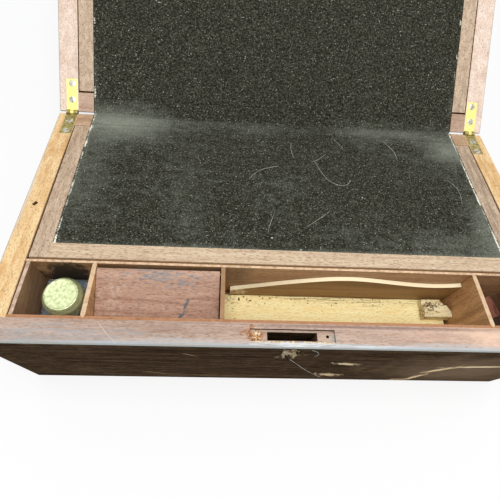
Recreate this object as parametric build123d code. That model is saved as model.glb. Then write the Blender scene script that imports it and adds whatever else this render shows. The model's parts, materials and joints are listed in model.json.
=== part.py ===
from build123d import *
from math import atan2, cos, pi, sin, tan
import os

# Writing slope: a wedge-shaped mahogany box for pens, ink and papers.
# Millimetres, +Z up. The origin is the centre of the base's underside. X runs along the lock
# side, +X to the right as seen from there, and +Y runs from the lock side to the hinge side.
# The lid is drawn standing open, as it stands while papers are taken out.

os.makedirs("parts", exist_ok=True)

# ---------------------------------------------------------------- the box
width = 400.0                    # along the lock side
depth = 222.0                    # lock side to hinge side
hinge_side_height = 75.0         # of the base, and of the lid, so that the open slope is one plane
slope_rise = 44.0                # lock side above hinge side
wall = 17.0
bottom_thickness = 7.0
top_thickness = 9.0
rebate = 8.0                     # how far the bottom board runs into the walls
worn_arris = 0.9                 # chamfer of the outer arrises
lid_opened = 134.7               # degrees from shut, as the lid stands

# ---------------------------------------------------------------- hinges
hinge_gap = 0.5                  # hinge axis behind the base's hinge side
hinge_rise = 0.25                # hinge axis above the rim
leaf_width = 10.0
leaf_length = 28.8
leaf_thickness = 1.4
leaf_from_wall = 0.6             # from the inner face of the side wall
knuckle_radius = 2.1
knuckle_gap = 0.3                # between knuckles, and round them in the other leaf
knuckle_room = 0.5               # clearance of the wood round the knuckles
hinge_pin_radius = 0.8
running_fit = 0.05               # of a pin in a piece that turns on it
tight_fit = 0.02                 # of a pin in the piece that holds it
screw_shank = 1.0
screw_head = 3.0
screw_head_depth = 1.4           # a head fills the thickness of its leaf
screw_length = 12.0
screw_places = (10.8, 24.8)      # along the leaf from the rim's hinge edge

# ---------------------------------------------------------------- rooms at the lock side
front_liner = 2.2
side_liner = 3.2
room_depth = 40.3                # front liner to partition
inkwell_room = 42.2              # left liner to left divider
lidded_room = 86.6               # left divider to middle divider
right_room = 39.4                # right divider to right liner
divider = 3.0
divider_point = 2.2              # length of the V at each end of a divider
point_let_in = 1.6               # how much of the V stands in the liner or the partition
partition = 8.0
partition_lip = 1.9              # what the flap's rebate leaves of the partition
flap_front_gap = 1.9             # open joint between the lip and the flap
liner_below_rim = 0.3
liner_groove = 0.9               # chamfer of the side liners against the wall
rooms_deep = 73.0                # lock side's arris to the floor of the rooms
well_floor = 6.0
right_floor_raised = 16.0        # the right room is shallower

# ---------------------------------------------------------------- flaps
flap_panel = 5.0
crossband = 1.2                  # thickness of the veneer border
crossband_width = 12.7
velvet_below = 0.2               # velvet lies this much under the border
rail_velvet_from_edge = 0.8
flap_side_gap = 0.9
flap_joint = 0.4                 # between the rail and the flap that turns on it
flap_lid_gap = 1.2               # between the lid's flap and its lock side
seat_gap = 0.3                   # between a loose piece and what carries it
ledge_width = 7.0
ledge_height = 6.0

# ---------------------------------------------------------------- lock and its link plate
lock_centre = -0.5
lock_plate_length = 56.0
lock_plate_width = 8.9
lock_plate_from_front = 4.4      # along the rim
lock_plate_thickness = 1.6
mortise_length = 33.0
mortise_width = 6.0
mortise_depth = 26.0
mortise_from_front = 5.2
lock_screw_spacing = 46.6
lock_screw_radius = 1.1
lock_screw_depth = 11.0
keyhole_drop = 14.2              # keyhole below the arris
keyhole_radius = 2.0
keyhole_slot = 2.2
keyhole_slot_length = 8.0
chip_half_width = 6.0            # broken wood round the keyhole
chip_top = 3.5                   # below the arris
chip_bottom = 39.5
chip_depth = 1.8
chip_taper = 25.0                # degrees
hook_height = 8.0
hook_length = 7.0
hook_thickness = 1.8
hook_from_centre = 8.0
hook_eye = 1.6                   # radius of the hole that the lock's bolt would enter

# ---------------------------------------------------------------- locating peg
peg_hole_length = 3.8
peg_hole_width = 2.9
peg_hole_depth = 9.0
peg_from_front = 114.0           # along the rim
peg_from_side = 8.8
peg_turn = 54.0                  # degrees; the hole lies askew on the rim
peg_clearance = 0.4
peg_stands_out = 4.2
peg_let_in = 6.0

# ---------------------------------------------------------------- turn button of the lid's flap
button_at = 60.0                 # along X
button_from_edge = 4.0           # pivot from the wall's inner edge
button_long_end = 10.0
button_short_end = 3.5
button_width = 6.0
button_thickness = 1.1
button_recess = 1.5
button_clearance = 0.5
button_screw_radius = 1.0
button_screw_head = 2.2
button_screw_length = 9.0

# ---------------------------------------------------------------- compartment lid
small_lid = 3.4
small_lid_tilt = 20.0            # degrees, lock side down as it lies
small_lid_pivot_back = 5.0       # pivot from the partition
small_lid_pivot_drop = 3.0       # pivot below the rim
small_lid_tail = 2.2             # what stands behind the pivot
small_lid_front_gap = 0.5        # to the front liner as it swings past
small_lid_left_gap = 0.4
small_lid_right_gap = 0.9
small_pin_radius = 0.8
small_pin_in_divider = 2.0
small_pin_in_lid = 6.0
stop_width = 4.5

# ---------------------------------------------------------------- pen room
tray_seat = 8.0                  # height of the ledges over the floor of the wells
tray = 6.0
tray_gap = 0.4
tray_end_gap = 3.4               # the tray is short of the right divider
tray_ledge_front = 5.0
tray_ledge_back = 9.0
block_length = 22.0
block_width = 15.0
block_height = 9.7
block_overhang = 2.9             # past the tray's end
block_from_back = 2.0
block_chip_length = 6.5          # broken corner
block_chip_width = 10.5
slip = 3.2
slip_back_gap = 0.3
slip_left_gap = 4.5
slip_left_height = 15.7
slip_right_height = 37.0
slip_rise = ((34.5, 29.1), (64.5, 39.0), (82.5, 42.5), (111.5, 40.0))   # from its left end

# ---------------------------------------------------------------- inkwell
bottle_side = 38.0
bottle_height = 33.7
bottle_corner = 4.0
bottle_shoulder = 3.0
bottle_wall = 4.0
bottle_base = 5.0
bottle_inner_corner = 2.0
neck_radius = 10.0
neck_bore = 7.5
neck_height = 14.0
collar_wall = 1.7
collar_height = 7.5
cap_radius = 14.1
cap_disc_radius = 9.8
cap_wall = 1.2
cap_skirt = 8.8
cap_shoulder = 5.2
cap_over_neck = 4.0              # cap's top above the neck
cap_seat_gap = 0.3
washer_radius = 8.9

# ---------------------------------------------------------------- loose block in the right room
loose_length = 17.0
loose_side = 7.5
loose_chamfer = 1.2
loose_turn = -72.0               # degrees from X
loose_from_divider = 32.6        # its middle, from the right divider
loose_from_back = 11.3           # its middle, from the partition

# ---------------------------------------------------------------- derived places
half_w = width / 2
half_d = depth / 2
lock_side_height = hinge_side_height + slope_rise
well_floor_top = lock_side_height - rooms_deep
right_floor_top = well_floor_top + right_floor_raised
slope = atan2(slope_rise, depth)
slope_length = depth / cos(slope)
inner_x = half_w - wall
front_inner_y = -half_d + wall
back_inner_y = half_d - wall
rim_wall = wall / cos(slope)     # a wall measured along the rim
axis_y = half_d + hinge_gap
axis_z = hinge_side_height + hinge_rise
lid_top = 2 * axis_z             # fully open, the lid's top lies level with the base's underside
edge_t = hinge_gap * cos(slope) - hinge_rise * sin(slope)
edge_n = -hinge_gap * sin(slope) - hinge_rise * cos(slope)
hinge_axis = Axis((0, axis_y, axis_z), (1, 0, 0))
shut_hinge_y = half_d - 2 * edge_n * sin(slope)
shut_hinge_z = hinge_side_height - 2 * edge_n * cos(slope)
lid_angle = pi - slope - lid_opened * pi / 180
lid_edge_y = axis_y + edge_t * cos(lid_angle) - edge_n * sin(lid_angle)
lid_edge_z = axis_z + edge_t * sin(lid_angle) + edge_n * cos(lid_angle)

flap_thickness = flap_panel + crossband
flap_half = inner_x - flap_side_gap
velvet_half = flap_half - crossband_width
room_front = front_inner_y + front_liner
room_back = room_front + room_depth
room_middle_y = (room_front + room_back) / 2
partition_back = room_back + partition
lip_back = room_back + partition_lip
room_left = -inner_x + side_liner
room_right = inner_x - side_liner
left_divider_x = room_left + inkwell_room + divider / 2
middle_divider_x = left_divider_x + lidded_room + divider
right_divider_x = room_right - right_room - divider / 2
base_flap_start = rim_wall + flap_joint
base_flap_end = (half_d - lip_back - flap_front_gap) / cos(slope)
lid_flap_start = rim_wall + flap_thickness * tan(slope) + flap_joint
lid_flap_end = slope_length - rim_wall - flap_lid_gap
beyond = 2 * (width + depth)     # larger than the box, for cutting

# Rim frames: the second axis runs over the rim from the hinge edge to the lock edge, and the
# third stands out of the open box. The base's first axis is -X, and the lid's is X.
base_rim = Plane(origin=(0, half_d, hinge_side_height), x_dir=(-1, 0, 0),
                 z_dir=(0, sin(slope), cos(slope))).location
shut_rim = Plane(origin=(0, shut_hinge_y, shut_hinge_z), x_dir=(1, 0, 0),
                 z_dir=(0, -sin(slope), -cos(slope))).location
lid_rim = Plane(origin=(0, lid_edge_y, lid_edge_z), x_dir=(1, 0, 0),
                z_dir=(0, -sin(lid_angle), cos(lid_angle))).location

nodes = {}


def rim_z(y):
    """Height of the base's rim at a distance along Y."""
    return hinge_side_height + (half_d - y) * tan(slope)


def block(x0, x1, y0, y1, z0, z1):
    """A board between two corners, given in any order."""
    middle = Pos((x0 + x1) / 2, (y0 + y1) / 2, (z0 + z1) / 2)
    return middle * Box(abs(x1 - x0), abs(y1 - y0), abs(z1 - z0))


def rod(x0, x1, y, z, radius):
    """A round bar along X."""
    return Pos((x0 + x1) / 2, y, z) * Rot(0, 90, 0) * Cylinder(radius, abs(x1 - x0))


def below_rim(shape, drop=0.0):
    """What a piece keeps below the base's rim."""
    return shape - base_rim * block(-beyond, beyond, -beyond, beyond, -drop, beyond)


def opened(shape):
    """Turn a piece of the lid from its shut place to where the lid stands."""
    return shape.rotate(hinge_axis, -lid_opened)


def screw_shaft(length):
    """The straight part of a screw that points down from the plane z = 0."""
    return Cylinder(screw_shank, length, align=(Align.CENTER, Align.CENTER, Align.MAX))


def wood_screw(length):
    """A countersunk wood screw pointing down, its head flush with the plane z = 0."""
    top = Cone(screw_shank, screw_head, screw_head_depth, align=(Align.CENTER, Align.CENTER, Align.MAX))
    return top + screw_shaft(length)


def hinge_screws(frame, u):
    """The two screws of one hinge leaf."""
    return [frame * Pos(u, place, 0) * wood_screw(screw_length) for place in screw_places]


# ---------------------------------------------------------------- base: boards
base_shell = chamfer(below_rim(block(-half_w, half_w, -half_d, half_d, 0, beyond)).edges(), worn_arris)
bottom_board = block(-inner_x - rebate, inner_x + rebate, front_inner_y - rebate,
                     back_inner_y + rebate, 0, bottom_thickness)
nodes["base_bottom_board"] = bottom_board


def base_board(x0, x1, y0, y1):
    """An upright board of the base, rebated for the bottom board."""
    return (block(x0, x1, y0, y1, 0, lock_side_height) & base_shell) - bottom_board


# The leaves of a hinge sit on the side walls; their middle along X.
leaf_x = inner_x + leaf_from_wall + leaf_width / 2
knuckle_length = (leaf_width - 2 * knuckle_gap) / 3


def leaf_recess(frame, u):
    """Room in the wood for one leaf, its screws and all three knuckles."""
    room = frame * block(u - leaf_width / 2, u + leaf_width / 2, -leaf_length, leaf_length,
                         -leaf_thickness, leaf_thickness)
    around = leaf_width / 2 + knuckle_gap
    room += frame * rod(u - around, u + around, -edge_t, -edge_n, knuckle_radius + knuckle_room)
    for place in screw_places:
        room += frame * Pos(u, place, 0) * screw_shaft(screw_length)
    return room


def peg(frame, turn, length, breadth, n0, n1):
    """The locating peg or its hole, askew on the left side of the rim."""
    u = -half_w + peg_from_side if frame is lid_rim else half_w - peg_from_side
    place = Pos(u, slope_length - peg_from_front, 0) * Rot(0, 0, turn)
    return frame * place * block(-length / 2, length / 2, -breadth / 2, breadth / 2, n0, n1)


peg_hole = peg(base_rim, peg_turn, peg_hole_length, peg_hole_width, -peg_hole_depth, worn_arris)
nodes["base_left_side"] = (base_board(-half_w, -inner_x, front_inner_y, half_d)
                           - leaf_recess(base_rim, leaf_x) - peg_hole)
nodes["base_right_side"] = (base_board(inner_x, half_w, front_inner_y, half_d)
                            - leaf_recess(base_rim, -leaf_x))


def rail_recess(frame):
    """Where the velvet lies on the hinge side's rim."""
    return frame * block(-velvet_half, velvet_half, -wall, 2 * wall, -crossband, wall)


def rail_velvet(frame):
    return frame * block(-velvet_half, velvet_half, rail_velvet_from_edge, rim_wall,
                         -crossband, -velvet_below)


nodes["base_hinge_side_wall"] = base_board(-inner_x, inner_x, back_inner_y, half_d) - rail_recess(base_rim)
nodes["base_rail_velvet"] = rail_velvet(base_rim)

# ---------------------------------------------------------------- base: lock side, its lock missing
plate_t0 = slope_length - lock_plate_from_front - lock_plate_width
plate_t1 = slope_length - lock_plate_from_front
mortise_y0 = -half_d + mortise_from_front
mortise_y1 = mortise_y0 + mortise_width
lock_side_wall = base_board(-half_w, half_w, -half_d, front_inner_y)
plate_half = lock_plate_length / 2
lock_side_wall -= base_rim * block(-lock_centre - plate_half, -lock_centre + plate_half,
                                   plate_t0, plate_t1, -lock_plate_thickness, worn_arris)
lock_side_wall -= block(lock_centre - mortise_length / 2, lock_centre + mortise_length / 2,
                        mortise_y0, mortise_y1, lock_side_height - mortise_depth, lock_side_height)
lock_screw_y = -half_d + (lock_plate_from_front + lock_plate_width / 2) * cos(slope)
lock_screw_top = rim_z(lock_screw_y) - lock_plate_thickness
for side in (-1, 1):
    lock_screw_x = lock_centre + side * lock_screw_spacing / 2
    screw_hole = Cylinder(lock_screw_radius, 2 * lock_screw_depth)
    lock_side_wall -= Pos(lock_screw_x, lock_screw_y, lock_screw_top) * screw_hole

# Seen from the lock side: X, and the drop below the arris.
lock_face = Plane(origin=(lock_centre, -half_d, lock_side_height), x_dir=(1, 0, 0), z_dir=(0, 1, 0)).location
keyhole = lock_face * Pos(0, keyhole_drop) * Circle(keyhole_radius)
slot_middle = keyhole_drop + keyhole_slot_length / 2
keyhole += lock_face * Pos(0, slot_middle) * Rectangle(keyhole_slot, keyhole_slot_length)
lock_side_wall -= extrude(keyhole, mortise_from_front + mortise_width / 2)
chip = Polygon((-0.4 * chip_half_width, chip_top), (0.4 * chip_half_width, chip_top),
               (chip_half_width, keyhole_drop), (0.25 * chip_half_width, chip_bottom),
               (-chip_half_width, keyhole_drop + keyhole_radius), align=None)
lock_side_wall -= extrude(lock_face * chip, chip_depth, taper=chip_taper)
nodes["base_lock_side_wall"] = lock_side_wall

# ---------------------------------------------------------------- base: rooms at the lock side
nodes["well_floor"] = block(-inner_x, inner_x, front_inner_y, room_back,
                            well_floor_top - well_floor, well_floor_top)


def divider_board(x):
    """A thin board whose ends are planed to a V and let into the boards they meet."""
    front = room_front - point_let_in
    back = room_back + point_let_in
    half = divider / 2
    plan = Polygon((x - half, front + divider_point), (x, front), (x + half, front + divider_point),
                   (x + half, back - divider_point), (x, back), (x - half, back - divider_point), align=None)
    return below_rim(extrude(Pos(0, 0, well_floor_top) * plan, lock_side_height), liner_below_rim)


divider_places = {"left_divider": left_divider_x, "middle_divider": middle_divider_x,
                  "right_divider": right_divider_x}
dividers = {name: divider_board(x) for name, x in divider_places.items()}

liner_top = lock_side_height
well_front = below_rim(block(-inner_x, inner_x, front_inner_y, room_front, well_floor_top, liner_top),
                       liner_below_rim)
partition_board = below_rim(block(-inner_x, inner_x, room_back, partition_back, bottom_thickness, liner_top))
flap_seat = flap_thickness + seat_gap
partition_board -= base_rim * block(-beyond, beyond, -beyond, (half_d - lip_back) / cos(slope),
                                    -flap_seat, beyond)
for board in dividers.values():
    well_front -= board
    partition_board -= board
nodes["well_front_liner"] = well_front
nodes["well_partition"] = partition_board


def side_liner_board(side):
    """A liner of a side wall, its outer top arris chamfered against the wall."""
    liner = below_rim(block(side * inner_x, side * (inner_x - side_liner), room_front, room_back,
                            well_floor_top, liner_top), liner_below_rim)
    return chamfer(liner.faces().sort_by(Axis.Z)[-1].edges().sort_by(Axis.X)[-1 if side > 0 else 0],
                   liner_groove)


nodes["well_left_liner"] = side_liner_board(-1)
nodes["well_right_liner"] = side_liner_board(1)
nodes["right_room_block"] = block(right_divider_x + divider / 2, room_right, room_front, room_back,
                                  well_floor_top, right_floor_top)

pen_left = middle_divider_x + divider / 2
pen_right = right_divider_x - divider / 2
ledge_top = well_floor_top + tray_seat
nodes["pen_tray_ledges"] = Compound([
    block(pen_left, pen_right, room_front, room_front + tray_ledge_front, well_floor_top, ledge_top),
    block(pen_left, pen_right, room_back - tray_ledge_back, room_back, well_floor_top, ledge_top)])


# ---------------------------------------------------------------- base: ledges under the flap
def ledges(frame, inside, seat):
    """Three strips round the room, whose tops carry a flap."""
    strip = frame * block(-beyond, beyond, -beyond, beyond, -seat - ledge_height, -seat)
    box = inside.bounding_box()
    left = block(-inner_x, -inner_x + ledge_width, -beyond, beyond, box.min.Z, box.max.Z)
    right = mirror(left, Plane.YZ)
    back = block(-inner_x + ledge_width, inner_x - ledge_width, box.max.Y - ledge_width, beyond,
                 box.min.Z, box.max.Z)
    return [strip & inside & place for place in (left, right, back)]


base_inside = block(-inner_x, inner_x, partition_back, back_inner_y, bottom_thickness, lock_side_height)
nodes["base_flap_ledges"] = Compound(ledges(base_rim, base_inside, flap_seat))


# ---------------------------------------------------------------- compartment lid
small_pivot_y = room_back - small_lid_pivot_back
small_pivot_z = rim_z(small_pivot_y) - small_lid_pivot_drop
small_left = left_divider_x + divider / 2 + small_lid_left_gap
small_right = middle_divider_x - divider / 2 - small_lid_right_gap
small_reach = small_pivot_y - room_front - small_lid_front_gap
small_place = Pos(0, small_pivot_y, small_pivot_z) * Rot(small_lid_tilt, 0, 0)
small_board = small_place * block(small_left, small_right, -small_reach, small_lid_tail,
                                  -small_lid / 2, small_lid / 2)
small_pins = []
for x_lid, inward in ((small_left, 1), (small_right, -1)):
    gap = small_lid_left_gap if inward > 0 else small_lid_right_gap
    x_divider = x_lid - inward * (gap + small_pin_in_divider)
    small_pins.append(rod(x_divider, x_lid + inward * small_pin_in_lid, small_pivot_y, small_pivot_z,
                          small_pin_radius))
    room = rod(x_divider - inward * running_fit * 4, x_lid, small_pivot_y, small_pivot_z,
               small_pin_radius + running_fit)
    name = "left_divider" if inward > 0 else "middle_divider"
    dividers[name] -= room
    small_board -= small_pins[-1]
nodes["compartment_lid"] = small_board
nodes["compartment_lid_pins"] = Compound(small_pins)
tilt = small_lid_tilt * pi / 180
stop_top = small_pivot_z - small_reach * sin(tilt) - small_lid / 2 * cos(tilt) - seat_gap
nodes["compartment_lid_stop"] = block(left_divider_x + divider / 2, middle_divider_x - divider / 2,
                                      room_front, room_front + stop_width, well_floor_top, stop_top)
for name, board in dividers.items():
    nodes[name] = board

# ---------------------------------------------------------------- pen tray and the slip behind it
tray_bottom = ledge_top + seat_gap
tray_top = tray_bottom + tray
slip_back = room_back - slip_back_gap
tray_back = slip_back - slip - tray_gap
tray_right = pen_right - tray_end_gap
nodes["pen_tray"] = block(pen_left + tray_gap, tray_right, room_front + tray_gap, tray_back,
                          tray_bottom, tray_top)
block_right = tray_right + block_overhang
block_back = tray_back - block_from_back
block_plan = Polygon(
    (block_right - block_length, block_back), (block_right - block_length, block_back - block_width),
    (block_right, block_back - block_width), (block_right, block_back - block_chip_width),
    (block_right - block_chip_length, block_back), align=None)
nodes["pen_tray_end_block"] = extrude(Pos(0, 0, tray_top) * block_plan, block_height)

slip_left = pen_left + slip_left_gap
slip_right = pen_right - tray_gap
slip_length = slip_right - slip_left
slip_top = Spline((0, slip_left_height), *slip_rise, (slip_length, slip_right_height))
slip_outline = slip_top + Polyline((slip_length, slip_right_height), (slip_length, 0), (0, 0),
                                   (0, slip_left_height))
slip_plane = Plane(origin=(slip_left, slip_back, tray_bottom), x_dir=(1, 0, 0), z_dir=(0, -1, 0))
nodes["pen_slip"] = extrude(slip_plane.location * make_face(slip_outline), slip)

# ---------------------------------------------------------------- inkwell
inkwell_x = (room_left + left_divider_x - divider / 2) / 2
inkwell_place = Pos(inkwell_x, room_middle_y, well_floor_top + seat_gap)
stand = (Align.CENTER, Align.CENTER, Align.MIN)
bottle = Box(bottle_side, bottle_side, bottle_height, align=stand)
bottle = fillet(bottle.edges().filter_by(Axis.Z), bottle_corner)
bottle = chamfer(bottle.faces().sort_by(Axis.Z)[-1].edges(), bottle_shoulder)
neck_top = bottle_height + neck_height
bottle += Cylinder(neck_radius, neck_top, align=stand)
inner_side = bottle_side - 2 * bottle_wall
inner_height = bottle_height - bottle_base - bottle_wall
ink_room = fillet(Box(inner_side, inner_side, inner_height, align=stand).edges().filter_by(Axis.Z),
                  bottle_inner_corner)
bottle -= Pos(0, 0, bottle_base) * ink_room
bottle -= Pos(0, 0, bottle_base) * Cylinder(neck_bore, neck_top, align=stand)
nodes["inkwell_bottle"] = inkwell_place * bottle
collar = Cylinder(neck_radius + collar_wall, collar_height, align=stand)
collar -= Cylinder(neck_radius, collar_height, align=stand)
nodes["inkwell_collar"] = inkwell_place * Pos(0, 0, bottle_height) * collar

cap_top = neck_top + cap_over_neck
cap_edge = cap_top - cap_shoulder
cap_inside = cap_top - cap_wall
cap_outline = Polyline(
    (cap_radius, cap_edge), (cap_disc_radius, cap_top), (0, cap_top), (0, cap_inside),
    (cap_disc_radius - cap_wall / 2, cap_inside), (cap_radius - cap_wall, cap_edge),
    (cap_radius - cap_wall, cap_edge - cap_skirt), (cap_radius, cap_edge - cap_skirt),
    (cap_radius, cap_edge))
nodes["inkwell_cap"] = inkwell_place * revolve(Plane.XZ * make_face(cap_outline), Axis.Z)
washer = Cylinder(washer_radius, cap_inside - neck_top - cap_seat_gap, align=stand)
nodes["inkwell_washer"] = inkwell_place * Pos(0, 0, neck_top + cap_seat_gap) * washer

# ---------------------------------------------------------------- loose block in the right room
loose = Box(loose_length, loose_side, loose_side, align=stand)
loose = chamfer(loose.edges().filter_by(Axis.X), loose_chamfer)
loose_x = right_divider_x + divider / 2 + loose_from_divider
loose_y = room_back - loose_from_back
nodes["loose_block"] = Pos(loose_x, loose_y, right_floor_top + seat_gap) * Rot(0, 0, loose_turn) * loose

# ---------------------------------------------------------------- lid: boards
under_lid_rim = shut_rim * block(-beyond, beyond, -beyond, beyond, 0, beyond)
lid_shell = block(-half_w, half_w, -half_d, shut_hinge_y, 0, lid_top) - under_lid_rim
lid_shell = chamfer(lid_shell.edges(), worn_arris)
lid_wall_top = lid_top - top_thickness
lid_hinge_inner_y = shut_hinge_y - wall


def lid_board(x0, x1, y0, y1, z0=0.0, z1=lid_wall_top):
    return opened(block(x0, x1, y0, y1, z0, z1) & lid_shell)


nodes["lid_top_board"] = lid_board(-half_w, half_w, -half_d, shut_hinge_y, lid_wall_top, lid_top)
peg_length = peg_hole_length - 2 * peg_clearance
peg_width = peg_hole_width - 2 * peg_clearance
nodes["locating_peg"] = peg(lid_rim, -peg_turn, peg_length, peg_width, -peg_let_in, peg_stands_out)
nodes["lid_left_side"] = (lid_board(-half_w, -inner_x, front_inner_y, shut_hinge_y)
                          - leaf_recess(lid_rim, -leaf_x) - nodes["locating_peg"])
nodes["lid_right_side"] = (lid_board(inner_x, half_w, front_inner_y, shut_hinge_y)
                           - leaf_recess(lid_rim, leaf_x))
nodes["lid_hinge_side_wall"] = (lid_board(-inner_x, inner_x, lid_hinge_inner_y, shut_hinge_y)
                                - rail_recess(lid_rim))
nodes["lid_rail_velvet"] = rail_velvet(lid_rim)
lid_inside = block(-inner_x, inner_x, front_inner_y, lid_hinge_inner_y, hinge_side_height, lid_wall_top)
nodes["lid_flap_ledges"] = Compound([opened(strip) for strip in ledges(shut_rim, lid_inside, flap_seat)])

# ---------------------------------------------------------------- link plate of the lock, on the lid
link_screw_length = min(screw_length, lid_wall_top - lock_side_height - screw_head_depth)
link_screws = []
for side in (-1, 1):
    place = lid_rim * Pos(lock_centre + side * lock_screw_spacing / 2, (plate_t0 + plate_t1) / 2, 0)
    link_screws.append(place * wood_screw(link_screw_length))
link_plate = lid_rim * block(lock_centre - plate_half, lock_centre + plate_half,
                             plate_t0, plate_t1, -leaf_thickness, 0)
lid_lock_side = lid_board(-half_w, half_w, -half_d, front_inner_y) - link_plate
for screw in link_screws:
    link_plate -= screw
    lid_lock_side -= screw
hook_t = slope_length - (mortise_y0 + mortise_width / 2 + half_d) / cos(slope)
for side in (-1, 1):
    u = lock_centre + side * hook_from_centre
    hook = block(u - hook_length / 2, u + hook_length / 2, hook_t - hook_thickness / 2,
                 hook_t + hook_thickness / 2, -leaf_thickness / 2, hook_height)
    eye = Pos(u, hook_t, hook_height * 0.6) * Rot(90, 0, 0) * Cylinder(hook_eye, hook_thickness * 2)
    link_plate += lid_rim * (hook - eye)
nodes["lock_link_plate"] = link_plate
nodes["lock_link_plate_screws"] = Compound(link_screws)

# ---------------------------------------------------------------- turn button
button_place = lid_rim * Pos(button_at, slope_length - rim_wall + button_from_edge, 0)
button_room = button_place * Pos(0, 0, -button_recess) * Cylinder(
    button_long_end + button_clearance, 2 * button_recess, align=stand)
button_bottom = -button_recess + seat_gap / 3
button = block(-button_short_end, button_long_end, -button_width / 2, button_width / 2,
               button_bottom, button_bottom + button_thickness)
button = fillet(button.edges().filter_by(Axis.Z), button_width / 3)
button -= Cylinder(button_screw_radius + running_fit, button_width)
nodes["flap_catch"] = button_place * button
head_bottom = button_bottom + button_thickness + running_fit
button_screw = Cylinder(button_screw_radius, button_screw_length,
                        align=(Align.CENTER, Align.CENTER, Align.MAX))
button_screw = Pos(0, 0, head_bottom) * button_screw
lid_lock_side -= button_place * button_screw
button_screw += Pos(0, 0, head_bottom) * Cylinder(button_screw_head, -head_bottom + seat_gap, align=stand)
nodes["flap_catch_screw"] = button_place * button_screw
nodes["lid_lock_side_wall"] = lid_lock_side - button_room


# ---------------------------------------------------------------- flaps with their velvet
def flap(name, frame, left, start, end):
    """A panel with a veneer border on three sides and velvet inside it; left is -X in the frame."""
    velvet_end = end - crossband_width
    nodes[name + "_panel"] = frame * block(-flap_half, flap_half, start, end, -flap_thickness, -crossband)
    nodes[name + "_left_border"] = frame * block(left * velvet_half, left * flap_half, start, end,
                                                 -crossband, 0)
    nodes[name + "_right_border"] = frame * block(-left * velvet_half, -left * flap_half, start, end,
                                                  -crossband, 0)
    nodes[name + "_front_border"] = frame * block(-velvet_half, velvet_half, velvet_end, end, -crossband, 0)
    nodes[name + "_velvet"] = frame * block(-velvet_half, velvet_half, start, velvet_end,
                                            -crossband, -velvet_below)


flap("base_flap", base_rim, 1, base_flap_start, base_flap_end)
flap("lid_flap", lid_rim, -1, lid_flap_start, lid_flap_end)
for name in ("lid_flap_panel", "lid_flap_front_border"):
    nodes[name] -= button_room


# ---------------------------------------------------------------- hinges
def knuckle(u, place, radius, more=0.0):
    """One of three lengths of the hinge's barrel, in a rim frame; more lengthens it at both ends."""
    start = u - leaf_width / 2 + place * (knuckle_length + knuckle_gap)
    return rod(start - more, start + knuckle_length + more, -edge_t, -edge_n, radius)


def leaf(frame, u, own, other, bore):
    """One leaf: a plate let into the rim, with its knuckles rolled from it."""
    plate = block(u - leaf_width / 2, u + leaf_width / 2, 0, leaf_length, -leaf_thickness, 0)
    for place in other:
        plate -= knuckle(u, place, knuckle_radius + knuckle_gap, knuckle_gap)
    for place in own:
        plate += knuckle(u, place, knuckle_radius)
    plate -= rod(u - leaf_width, u + leaf_width, -edge_t, -edge_n, bore)
    whole = frame * plate
    for screw in hinge_screws(frame, u):
        whole -= screw
    return whole


base_screws = []
lid_screws = []
for name, side in (("left", -1), ("right", 1)):
    nodes[name + "_hinge_base_leaf"] = leaf(base_rim, -side * leaf_x, (0, 2), (1,),
                                            hinge_pin_radius + tight_fit)
    nodes[name + "_hinge_lid_leaf"] = leaf(lid_rim, side * leaf_x, (1,), (0, 2),
                                           hinge_pin_radius + running_fit)
    nodes[name + "_hinge_pin"] = rod(side * leaf_x - leaf_width / 2, side * leaf_x + leaf_width / 2,
                                     axis_y, axis_z, hinge_pin_radius)
    base_screws += hinge_screws(base_rim, -side * leaf_x)
    lid_screws += hinge_screws(lid_rim, side * leaf_x)
nodes["base_hinge_screws"] = Compound(base_screws)
nodes["lid_hinge_screws"] = Compound(lid_screws)

for name, shape in nodes.items():
    export_step(shape, "parts/" + name + ".step")
print(len(nodes), "nodes; hinge axis", round(axis_y, 3), round(axis_z, 3), "lid top", lid_top)
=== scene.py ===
# %% [markdown]
# # A writing slope, finished piece by piece
# The box is a wedge of mahogany boards. Its lid opens to a velvet slope over the paper store, and
# the rooms for ink, nibs and pens lie along the lock side. The construction is loaded as a fixed
# frame of named nodes. This lesson gives every one of them the finish of an old, much used box,
# and models what is soft, turned, broken or worn.

# %% Load the box
import bpy
import bmesh
import json
import random
from math import atan2, cos, degrees, exp, pi, radians, sin
from mathutils import Matrix, Vector, noise


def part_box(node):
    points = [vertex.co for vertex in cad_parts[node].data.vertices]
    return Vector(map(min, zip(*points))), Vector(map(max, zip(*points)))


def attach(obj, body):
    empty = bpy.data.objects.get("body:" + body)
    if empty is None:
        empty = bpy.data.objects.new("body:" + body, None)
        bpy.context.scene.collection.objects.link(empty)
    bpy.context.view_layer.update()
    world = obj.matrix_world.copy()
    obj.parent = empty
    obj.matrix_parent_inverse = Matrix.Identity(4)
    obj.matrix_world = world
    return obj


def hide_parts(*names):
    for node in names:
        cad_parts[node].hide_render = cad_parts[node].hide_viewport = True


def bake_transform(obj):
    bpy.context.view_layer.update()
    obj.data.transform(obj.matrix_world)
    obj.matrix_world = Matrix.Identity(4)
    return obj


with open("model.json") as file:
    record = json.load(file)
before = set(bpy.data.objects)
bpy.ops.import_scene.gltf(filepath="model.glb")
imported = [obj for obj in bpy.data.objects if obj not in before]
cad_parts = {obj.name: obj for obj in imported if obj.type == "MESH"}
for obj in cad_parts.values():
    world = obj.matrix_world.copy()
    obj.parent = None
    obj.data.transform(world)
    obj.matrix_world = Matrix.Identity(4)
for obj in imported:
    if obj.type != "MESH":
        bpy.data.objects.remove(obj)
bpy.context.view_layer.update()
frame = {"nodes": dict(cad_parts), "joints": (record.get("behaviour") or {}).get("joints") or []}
nodes = frame["nodes"]
scene = bpy.context.scene
bpy.ops.object.select_all(action="DESELECT")

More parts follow.
